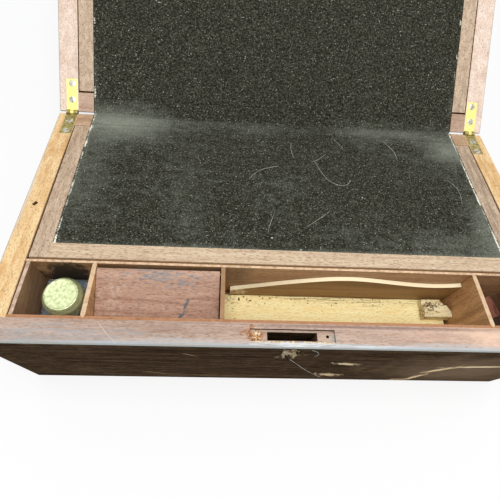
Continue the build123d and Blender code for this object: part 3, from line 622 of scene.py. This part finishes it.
def cloth_wear_and_edge_highlight(x, d):
    """Cream back showing at the sides, where the pile has worn off, and at the front as a painted
    highlight.
    """
    side = bump(HALF - abs(x) - 0.9 * MM, 1.3 * MM)
    part = 0.9 + 0.5 * cloud(x, d, 16 * MM, 40)
    if d > LID_FROM:
        part = max(0.0, 0.5 + 0.9 * cloud(x, d, 12 * MM, 28))
    # Its last term, along the front edge, is a painted highlight.
    return side * part * (0.9 + 0.6 * cloud(x, d, 7 * MM, 8)) + 0.5 * bump(d - FLAP_FRONT, 1.0 * MM)


# %% Make a sheet of cloth
def begin():
    """Leave nothing selected, so that an operator acts only on the next piece."""
    bpy.ops.object.select_all(action="DESELECT")


def paint_points(obj, name, rule):
    """Store a number on each point of a mesh, from a rule of its place."""
    layer = obj.data.attributes.new(name, "FLOAT", "POINT")
    layer.data.foreach_set("value", [rule(v.co) for v in obj.data.vertices])


def thicken(obj, thickness):
    """Give a sheet its thickness, downwards."""
    bpy.ops.object.modifier_add(type="SOLIDIFY")
    obj.modifiers[-1].thickness = thickness
    obj.modifiers[-1].offset = -1
    bpy.ops.object.modifier_apply(modifier=obj.modifiers[-1].name)


def rows_on(rim, start, end, distance):
    """Rows of a flat cloth on a rim: place at X nought, direction out, distance along the cloth."""
    count = round((end - start) / CELL)
    steps = [start + (end - start) * i / count for i in range(count + 1)]
    return [(rim @ Vector((0, y, PILE_TOP)), rim.to_3x3().col[2], distance + y) for y in steps]


def velvet_sheet(name, rows, replaced):
    """One sheet of velvet along rows; it lies over one joint between two distances."""
    begin()
    bpy.ops.mesh.primitive_grid_add(x_subdivisions=round(2 * HALF / CELL), size=2,
                                    y_subdivisions=len(rows) - 1, location=(0, 0, 0))
    sheet = bpy.context.object
    sheet.name = name
    for v in sheet.data.vertices:
        v.co = Vector((v.co.x * HALF, rows[round((v.co.y + 1) / 2 * (len(rows) - 1))][2], 0))
    paint_points(sheet, "dust_and_edge_highlight", lambda co: cloth_dust_and_edge_highlight(co.x, co.y))
    paint_points(sheet, "wear_and_edge_highlight", lambda co: cloth_wear_and_edge_highlight(co.x, co.y))
    lines = {round(row[2], 6): row for row in rows}
    for v in sheet.data.vertices:
        place, out, distance = lines[round(v.co.y, 6)]
        v.co = place + Vector((v.co.x, 0, 0)) + cloth_height(v.co.x, distance) * out
    thicken(sheet, CLOTH)
    bpy.ops.object.shade_smooth()
    sheet.data.materials.append(velvet)
    for node in replaced:
        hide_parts(node)
    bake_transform(sheet)


# %% Lay the three sheets
BASE_SEAM, LID_SEAM = 213 * MM, 13 * MM
velvet_sheet("base_velvet_sheet", rows_on(base_rim, FLAP_FRONT, BASE_SEAM, 0),
             ["base_flap_velvet"])
dip = [base_rim @ Vector((0, RAIL_BACK + 0.6 * MM, PILE_TOP - 0.5 * MM)),
       hinge_axis - Vector((0, 0, 1.3 * MM)),
       lid_rim @ Vector((0, LID_RAIL_START - 0.6 * MM, PILE_TOP - 0.5 * MM))]
outs = [BASE_OUT, (BASE_OUT + LID_OUT).normalized(), LID_OUT]
centre = rows_on(base_rim, BASE_SEAM, RAIL_BACK - 1 * MM, 0)
centre += [(place, out, LID_FROM - (0.6 - 0.6 * i) * MM) for i, (place, out) in enumerate(zip(dip, outs))]
centre += rows_on(lid_rim, LID_RAIL_START + 1 * MM, LID_SEAM, LID_FROM)
velvet_sheet("centre_velvet_sheet", centre, ["base_rail_velvet", "lid_rail_velvet"])
velvet_sheet("lid_velvet_sheet", rows_on(lid_rim, LID_SEAM, LID_END, LID_FROM),
             ["lid_flap_velvet"])

# %% [markdown]
# Screws, the ink bottle's cap and anything else that comes off a lathe are round about one axis.
# So each is grown from a disc, ring by ring, as its outline goes up. A wood screw's slot is sawn
# across its head after turning. Nobody lines the slots up, so each screw is turned by its own
# angle.

# %% Turn a round piece
def turned_piece(name, profile, around=48):
    """A solid round about Z, grown ring by ring from a list of (radius, height) in mm."""
    begin()
    radius, level = profile[0]
    bpy.ops.mesh.primitive_circle_add(vertices=around, radius=radius * MM, fill_type="NGON",
                                      location=(0, 0, level * MM))
    piece = bpy.context.object
    piece.name = name
    bpy.ops.object.transform_apply(location=True)
    bpy.ops.object.mode_set(mode="EDIT")
    bpy.ops.mesh.select_all(action="SELECT")
    for (r0, z0), (r1, z1) in zip(profile, profile[1:]):
        bpy.ops.mesh.extrude_region_move(TRANSFORM_OT_translate={"value": (0, 0, (z1 - z0) * MM)})
        bpy.ops.transform.resize(value=(r1 / r0, r1 / r0, 1), center_override=(0, 0, z1 * MM))
    bpy.ops.mesh.select_all(action="SELECT")
    bpy.ops.mesh.normals_make_consistent(inside=False)
    bpy.ops.object.mode_set(mode="OBJECT")
    bpy.ops.object.shade_smooth_by_angle(angle=radians(30))
    return piece


def copies(piece, places):
    """Repeat a piece's mesh at each of some matrices, as one mesh with the piece's name."""
    merged = bmesh.new()
    for place in places:
        part = piece.data.copy()
        part.transform(place)
        merged.from_mesh(part)
        bpy.data.meshes.remove(part)
    merged.to_mesh(piece.data)
    merged.free()


def give(piece, finish, body):
    """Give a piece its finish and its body."""
    piece.data.materials.clear()
    piece.data.materials.append(finish)
    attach(piece, body)
    print(piece.name, len(piece.data.polygons), "faces")


# %% Slotted screws
chance = random.Random(7)


def screw_places(node, rim):
    """Middle, top, length and head's radius of each screw in a node, measured on a rim."""
    groups = []
    for v in nodes[node].data.vertices:
        point = rim.inverted() @ v.co
        group = next((g for g in groups if (g[0].xy - point.xy).length < 7 * MM), None)
        if group is None:
            groups.append([point])
        else:
            group.append(point)
    found = []
    for group in groups:
        low, high = Vector(map(min, zip(*group))), Vector(map(max, zip(*group)))
        found.append(((low + high) / 2, high.z, high.z - low.z, (high.x - low.x) / 2))
    return found


def slotted_screws(node, rim, body):
    """Countersunk screws with sawn slots in place of a node's plain ones."""
    found = screw_places(node, rim)
    length, head = found[0][2] / MM, found[0][3] / MM
    screw = turned_piece(node + "_slotted", [
        (0.5, -length), (0.9, 1.5 - length), (1.2, 1.6 - length), (1.3, -1.5), (1.4, -1.4),
        (head - 0.1, -0.12), (head, -0.05), (head - 0.12, 0.0)], around=32)
    begin()
    bpy.ops.mesh.primitive_cube_add(size=1, location=(0, 0, -0.25 * MM), scale=(7 * MM, 0.8 * MM, 0.7 * MM))
    cutter = bpy.context.object
    bpy.context.view_layer.objects.active = screw
    screw.modifiers.new("saw", "BOOLEAN").object = cutter
    bpy.ops.object.modifier_apply(modifier="saw")
    begin()
    cutter.select_set(True)
    bpy.ops.object.delete()
    copies(screw, [rim @ Matrix.Translation((middle.x, middle.y, top))
                   @ Matrix.Rotation(chance.uniform(0, pi), 4, "Z") for middle, top, _, _ in found])
    give(screw, steel, body)
    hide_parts(node)


slotted_screws("base_hinge_screws", base_rim, "base")
slotted_screws("lid_hinge_screws", lid_rim, "lid")
slotted_screws("lock_link_plate_screws", lid_rim, "lid")

# %% [markdown]
# The cap of the ink bottle was turned from thin brass: a straight skirt, a shoulder that rounds
# over in two steps, and a narrow raised lip round a flat top. It's modelled as one shell, down the
# inside and up the outside.

# %% Turned cap
low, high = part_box("inkwell_cap")
cap_middle = (low + high) / 2
SKIRT, LIP = low.z / MM, high.z / MM
cap = turned_piece("inkwell_turned_cap", [
    (8.6, LIP - 1.6), (12.6, LIP - 5.4), (12.9, LIP - 6.2), (12.9, SKIRT), (13.9, SKIRT),
    (14.1, SKIRT + 0.3), (14.1, LIP - 5.2), (14.0, LIP - 4.5), (13.7, LIP - 3.8),
    (13.3, LIP - 3.2), (12.5, LIP - 1.6),
    (12.2, LIP - 1.0), (11.9, LIP - 0.5), (11.6, LIP - 0.15), (11.3, LIP - 0.02), (11.0, LIP - 0.02),
    (10.7, LIP - 0.3), (10.4, LIP - 0.5), (10.0, LIP - 0.55), (3.0, LIP - 0.5), (0.1, LIP - 0.5)],
    around=96)
cap.data.transform(Matrix.Translation((cap_middle.x, cap_middle.y, 0)))
give(cap, cap_brass, "inkwell_cap")
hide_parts("inkwell_cap")

# %% [markdown]
# Two pieces in the rooms are broken wood: the short block glued into the right end of the pen
# tray, whose top has split away along the grain, and a dark stick lying in the right room. Each
# is a copy of the plain piece with more points, which are pushed in where wood has gone.

# %% Broken pieces of wood
def roughened(name, node, cuts, push):
    """A copy of a node with a finer mesh, whose points are moved by a rule of their place."""
    begin()
    piece = nodes[node].copy()
    piece.data = nodes[node].data.copy()
    piece.name = name
    scene.collection.objects.link(piece)
    piece.hide_render = False
    piece.parent = None
    piece.matrix_world = Matrix.Identity(4)
    piece.select_set(True)
    bpy.context.view_layer.objects.active = piece
    bpy.ops.object.mode_set(mode="EDIT")
    bpy.ops.mesh.select_all(action="SELECT")
    bpy.ops.mesh.remove_doubles(threshold=0.01 * MM)
    bpy.ops.mesh.subdivide(number_cuts=cuts)
    bpy.ops.mesh.quads_convert_to_tris()
    bpy.ops.object.mode_set(mode="OBJECT")
    for v in piece.data.vertices:
        v.co += push(v.co)
    bpy.ops.object.shade_flat()
    return piece


low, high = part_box("pen_tray_end_block")
BLOCK_LOW, BLOCK_HIGH = low.copy(), high.copy()


def block_push(co):
    """Split the block's top down towards the back left, in steps along the grain, and round its ends."""
    across = (co.x - BLOCK_LOW.x) / (BLOCK_HIGH.x - BLOCK_LOW.x)
    back = (co.y - BLOCK_LOW.y) / (BLOCK_HIGH.y - BLOCK_LOW.y)
    up = (co.z - BLOCK_LOW.z) / (BLOCK_HIGH.z - BLOCK_LOW.z)
    split = 1.0 if back + 0.35 * cloud(co.x, 0, 5 * MM, 3) > 0.62 + 0.15 * across else 0.0
    step = -2.6 * split - 0.7 * abs(cloud(co.x, co.y * 3, 4 * MM, 9)) - 0.5 * max(0.0, 0.2 - across) * 5
    side = 0.25 * cloud(co.y, co.z, 3 * MM, 5)
    return Vector((side, 0.2 * cloud(co.x, co.z, 3 * MM, 6), step * max(0.0, up - 0.3) / 0.7)) * MM


block = roughened("broken_end_block", "pen_tray_end_block", 9, block_push)
stick = roughened("faceted_loose_stick", "loose_block", 4, lambda co: 0.7 * MM * Vector((
    cloud(co.x, co.y, 6 * MM, 11), cloud(co.y, co.z, 6 * MM, 12), -abs(cloud(co.x, co.y, 5 * MM, 13)))))

# %% [markdown]
# Where the lock's left screw was levered out, the wood is chewed into loose splinters, and a bit
# of the broken screw still shines in the middle. Splinters are flat slivers pointed at both ends.
# One is modelled, and copied round the hole at random turns and lengths.

# %% Splinters round the lock's left screw
def sliver(name):
    """A sliver 1 mm long and 0.2 mm thick along X, pointed at both ends."""
    begin()
    bpy.ops.mesh.primitive_cylinder_add(vertices=5, radius=0.1 * MM, depth=0.3 * MM,
                                        rotation=(0, pi / 2, 0), location=(0, 0, 0))
    piece = bpy.context.object
    piece.name = name
    bpy.ops.object.transform_apply(rotation=True)
    bpy.ops.object.mode_set(mode="EDIT")
    bpy.ops.mesh.select_mode(type="FACE")
    for way in (1, -1):
        bpy.ops.mesh.select_all(action="DESELECT")
        bpy.ops.object.mode_set(mode="OBJECT")
        for face in piece.data.polygons:
            face.select = face.normal.x * way > 0.9
        bpy.ops.object.mode_set(mode="EDIT")
        bpy.ops.mesh.extrude_region_move(TRANSFORM_OT_translate={"value": (0.35 * way * MM, 0, 0)})
        bpy.ops.transform.resize(value=(1, 0.12, 0.3), center_override=(0.5 * way * MM, 0, 0))
    bpy.ops.object.mode_set(mode="OBJECT")
    return piece


def splinter_places(count, middle, reach, lift, longest):
    """Seeded places for splinters on the base's rim round a place given in mm."""
    places = []
    for _ in range(count):
        angle = chance.uniform(0, 2 * pi)
        away = chance.uniform(0.25, 1.0)
        spot = Vector((middle[0] + reach[0] * away * cos(angle), middle[1] + reach[1] * away * sin(angle),
                       chance.uniform(*lift))) * MM
        turn = Matrix.Rotation(angle + chance.uniform(-1.2, 1.2), 4, "Z")
        tilt = Matrix.Rotation(chance.uniform(-0.15, 0.15), 4, "Y")
        size = Matrix.Diagonal((chance.uniform(0.4, 1) * longest, chance.uniform(2, 6),
                                chance.uniform(1, 3), 1))
        places.append(base_rim @ Matrix.Translation(spot) @ turn @ tilt @ size)
    return places


HOLE_LEFT = (-23.8, 8.85)      # the splinters stay below the rim, clear of the closed lid
orange = sliver("orange_splinters")
copies(orange, splinter_places(90, HOLE_LEFT, (3.6, 3.2), (-1.4, -0.62), 3.2))
pale = sliver("pale_splinters")
copies(pale, splinter_places(40, HOLE_LEFT, (3.4, 3.0), (-1.2, -0.62), 2.6))
torn = sliver("torn_edge_splinters")
copies(torn, [base_rim @ Matrix.Translation(Vector((chance.uniform(-26, 26), chance.uniform(3.6, 4.6),
              chance.uniform(-0.2, 0.15))) * MM) @ Matrix.Rotation(chance.uniform(-0.3, 0.3), 4, "Z")
              @ Matrix.Diagonal((chance.uniform(1.5, 5), 4, 2, 1)) for _ in range(46)])
stub = turned_piece("broken_screw_stub", [(0.9, -3.0), (1.1, -0.6), (2.1, 0.2), (2.2, 0.4),
                                          (1.5, 0.55), (0.4, 0.3)], around=20)
stub.data.transform(base_rim @ Matrix.Translation(Vector((-23.8, 8.8, -1.25)) * MM)
                    @ Matrix.Rotation(0.2, 4, "X"))

# %% [markdown]
# Dirt has gathered along the back of the pen tray, and bits of lint lie on the velvet. Both are
# small lumps of no shape. One lump is modelled and copied at seeded sizes. Hairs and fibres are
# fine curves made into mesh. Where a hair, a white bit or a fibre's end lies was read in the
# picture, in its pixels, and the camera turns that into a place on the box. The two white bits in
# the corners and the middles of the fibres are given in mm.

# %% Crumbs, lint and hairs
def lump(name, radius):
    """A small uneven lump."""
    begin()
    bpy.ops.mesh.primitive_ico_sphere_add(subdivisions=2, radius=radius * MM, location=(0, 0, 0))
    piece = bpy.context.object
    piece.name = name
    bpy.ops.object.mode_set(mode="EDIT")
    bpy.ops.mesh.select_all(action="SELECT")
    bpy.ops.transform.vertex_random(offset=0.25 * radius * MM, seed=4)
    bpy.ops.object.mode_set(mode="OBJECT")
    bpy.ops.object.shade_smooth()
    return piece


def rim_place(px, py):
    """World X and Y, in mm, of what the picture shows on the base's rim at a pixel."""
    return seen_at(px, py, base_rim.translation, BASE_OUT).xy


def face_place(px, py):
    """X and Z, in mm, of what the picture shows on the front face at a pixel."""
    return seen_at(px, py, Vector((0, -DEPTH / 2, 0)), Vector((0, -1, 0))).xz


def along_rim(y):
    """Distance along the base's rim of a place at world Y, both in mm."""
    return (y + DEPTH / 2 / MM) / cos(slope)


def lump_place(x, y, z, size, rim=Matrix.Identity(4)):
    """A seeded turn and stretch for a lump at a place in mm."""
    turn = Matrix.Rotation(chance.uniform(0, pi), 4, "Z")
    stretch = Matrix.Diagonal((size * chance.uniform(0.6, 2.2), size * chance.uniform(0.4, 0.9),
                               size * 0.5, 1))
    return rim @ Matrix.Translation(Vector((x, y, z)) * MM) @ turn @ stretch


TRAY_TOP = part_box("pen_tray")[1].z / MM
seen_crumbs = [(-33, -59, 1.6), (-29, -57, 1.3), (-24, -60, 1.2), (-17, -63, 1.0), (-8, -57.5, 1.4),
               (-12, -62, 0.9), (-4, -66, 0.8), (6, -58, 0.8), (-38, -67, 1.0), (-36, -75, 1.1)]
crumbs = lump("tray_crumbs", 0.55)
copies(crumbs, [lump_place(x, y, TRAY_TOP, size) for x, y, size in seen_crumbs]
       + [lump_place(chance.uniform(-42, 112), chance.triangular(-66, -55.5, -55.5), TRAY_TOP,
                     chance.uniform(0.3, 1.1)) for _ in range(70)])

lint_bits = lump("velvet_lint", 0.22)
copies(lint_bits, [lump_place(chance.uniform(-166, 166), chance.uniform(80, 206), 0.0,
                              chance.uniform(0.6, 1.7), base_rim) for _ in range(260)])
white_bits = lump("white_lint", 0.5)
WHITE_IN_CORNERS = [(-167, 92), (168, 92)]
WHITE_PIXELS = [(272, 238), (362.5, 198), (301, 250)]
white_places = WHITE_IN_CORNERS + [rim_place(*pixel) for pixel in WHITE_PIXELS]
copies(white_bits, [lump_place(x, along_rim(y), 0.1, chance.uniform(1.2, 1.6), base_rim)
                    for x, y in white_places])


def strands(name, lines, thickness):
    """Fine curves through lists of places in metres, made into one mesh."""
    begin()
    data = bpy.data.curves.new(name, "CURVE")
    data.dimensions = "3D"
    data.bevel_depth = thickness * MM / 2
    data.bevel_resolution = 1
    data.resolution_u = 6
    for line in lines:
        spline = data.splines.new("NURBS")
        spline.points.add(len(line) - 1)
        for point, place in zip(spline.points, line):
            point.co = (*place, 1)
        spline.use_endpoint_u = True
        spline.order_u = min(4, len(line))
    piece = bpy.data.objects.new(name, data)
    scene.collection.objects.link(piece)
    piece.select_set(True)
    bpy.context.view_layer.objects.active = piece
    bpy.ops.object.convert(target="MESH")
    return bpy.context.object


def on_cloth(px, py):
    """The place on the base's velvet that the picture shows at a pixel."""
    x, y = rim_place(px, py)
    return base_rim @ (Vector((x, along_rim(y), HAIR_LIFT)) * MM)


HAIR_LIFT = 0.25
HAIR_PIXELS = [
    [(315, 162), (318, 168), (325, 178), (333, 184), (344, 187), (349, 184), (350.5, 180.5)],
    [(310.6, 161.4), (316, 162.5), (320, 158), (325, 155)],
    [(383.5, 142.3), (387.7, 146.1), (393.5, 151), (396, 156), (397.5, 161.4)],
    [(333.9, 139.8), (338.1, 143.9), (343, 148.6)],
    [(250, 178), (256, 172), (263, 168.6), (271, 167.5), (278.7, 166.2)],
    [(274, 214.8), (270, 223), (268, 232.4)],
    [(329.7, 211.6), (318, 220), (307.4, 226.8)],
    [(447.8, 181.3), (459, 187.7), (461, 196), (462, 203.7)],
    [(291, 143), (290, 152), (294, 158)],
]
hairs = strands("hairs_on_velvet", [[on_cloth(*pixel) for pixel in hair] for hair in HAIR_PIXELS], 0.30)
FACE = -DEPTH / 2 - 0.3 * MM
FIBRES = [
    [face_place(312, 350), (15.8, 113), (18.6, 107), (19.6, 101), face_place(314.6, 356)],
    [face_place(289.7, 359), (8, 74), (15, 58), (24, 40), (33, 24), face_place(320.4, 376.8)],
    [(-6, 112), (-4, 104), (-1.5, 99)],
]
fibres = strands("fibres_at_keyhole", [[Vector((x * MM, FACE, z * MM)) for x, z in line]
                                       for line in FIBRES], 0.35)

# %% [markdown]
# What is loose or broken needs finishes of its own: raw wood that was inside the board, dirt, lint,
# and hair.

# %% Finishes of bits and broken wood
def raw_finish(name, light, dark, size, roughness=0.8):
    """A dull finish that varies between two colours over a few millimetres."""
    material, tree, shader, place = start_material(name, roughness=roughness, Specular_IOR_Level=0.15)
    spread = add(tree, "TexNoise", {"Vector": place.outputs["Object"], "Scale": 1 / (size * MM),
                                    "Detail": 4.0})
    shade = ramp(tree, spread.outputs[0], (0.36, dark), (0.62, light))
    finish_wood(tree, shader, shade, spread.outputs[0])
    return material


raw_orange = raw_finish("chewed_wood", "#D89A5E", "#8E5426", 1.5)
raw_pale = raw_finish("torn_pale_wood", "#F0E2C4", "#C2A67C", 1.5)
dirt = raw_finish("tray_dirt", "#5A4626", "#2A1D0E", 1.0)
lint_finish = raw_finish("grey_lint", "#B4B6A8", "#7E8072", 2.0)
white_finish = raw_finish("white_lint", "#F4F4EC", "#D8D8CC", 2.0)
hair_finish = raw_finish("grey_hair", "#C6C6B8", "#94968A", 6.0, roughness=0.5)
block_finish, tree, shader, place = start_material("broken_block_wood", roughness=0.8,
                                                   Specular_IOR_Level=0.15)
colour, height = grain(tree, place, "#FBF2CC", "#E0CD98", "#A88C58", "X", pores=0.25, band=2.5 * MM)
colour = add_marks(tree, place, colour, [
    ("#6A4C2C", (122, -65, 68), (9, 5, 8), 1.7, 0.3, 0.85),
    ("#8E6C42", (116, -71, 68), (3, 9, 9), 1.4, 0.5, 0.7),
    ("#5A3C20", (119, -62.5, 68), (5, 3, 8), 1.3, 0.3, 0.8),
])
finish_wood(tree, shader, colour, height)

give(block, block_finish, "pen_tray")
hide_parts("pen_tray_end_block")
give(stick, loose_wood, "loose_block")
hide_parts("loose_block")
give(orange, raw_orange, "base")
give(pale, raw_pale, "base")
give(torn, raw_pale, "base")
give(stub, steel, "base")
give(crumbs, dirt, "pen_tray")
give(lint_bits, lint_finish, "base_flap")
give(white_bits, white_finish, "base_flap")
give(hairs, hair_finish, "base_flap")
give(fibres, hair_finish, "base")

# %% [markdown]
# Last, each node of the construction gets its finish. The nodes that a finished piece replaces
# are hidden, and only the flat velvet solids go without one.

# %% Give each node its finish
finishes = {
    side_wood: ["base_left_side", "base_right_side"],
    lock_wood: ["base_lock_side_wall"],
    hinge_wood: ["base_hinge_side_wall"],
    lid_side_wood: ["lid_left_side", "lid_right_side"],
    lid_wood: ["lid_top_board", "lid_lock_side_wall", "lid_hinge_side_wall", "locating_peg"],
    divider_wood: ["left_divider", "right_divider"],
    middle_wood: ["middle_divider"],
    liner_wood: ["well_front_liner"],
    side_liner_wood: ["well_left_liner", "well_right_liner"],
    partition_wood: ["well_partition"],
    border_x: ["base_flap_front_border", "lid_flap_front_border"],
    border_y: ["base_flap_left_border", "base_flap_right_border", "lid_flap_left_border",
               "lid_flap_right_border"],
    pine: ["base_bottom_board", "base_flap_ledges", "lid_flap_ledges", "base_flap_panel",
           "lid_flap_panel", "pen_tray_ledges", "compartment_lid_stop"],
    floor_wood_painted_shade: ["well_floor", "right_room_block"],
    tray_wood: ["pen_tray", "pen_tray_end_block"],
    slip_wood_painted_light: ["pen_slip"],
    small_lid_wood: ["compartment_lid"],
    loose_wood: ["loose_block"],
    dull_brass: ["left_hinge_base_leaf", "right_hinge_base_leaf", "left_hinge_pin", "right_hinge_pin",
                 "inkwell_collar", "flap_catch", "compartment_lid_pins"],
    bright_brass: ["left_hinge_lid_leaf", "right_hinge_lid_leaf", "lock_link_plate"],
    cap_brass: ["inkwell_cap"],
    steel: ["base_hinge_screws", "lid_hinge_screws", "lock_link_plate_screws", "flap_catch_screw"],
    leather: ["inkwell_washer"],
    glass: ["inkwell_bottle"],
}
for finish, names in finishes.items():
    for name in names:
        nodes[name].material_slots[0].material = finish
bare = sorted(set(nodes) - {name for names in finishes.values() for name in names})
print("replaced or without a finish:", bare)
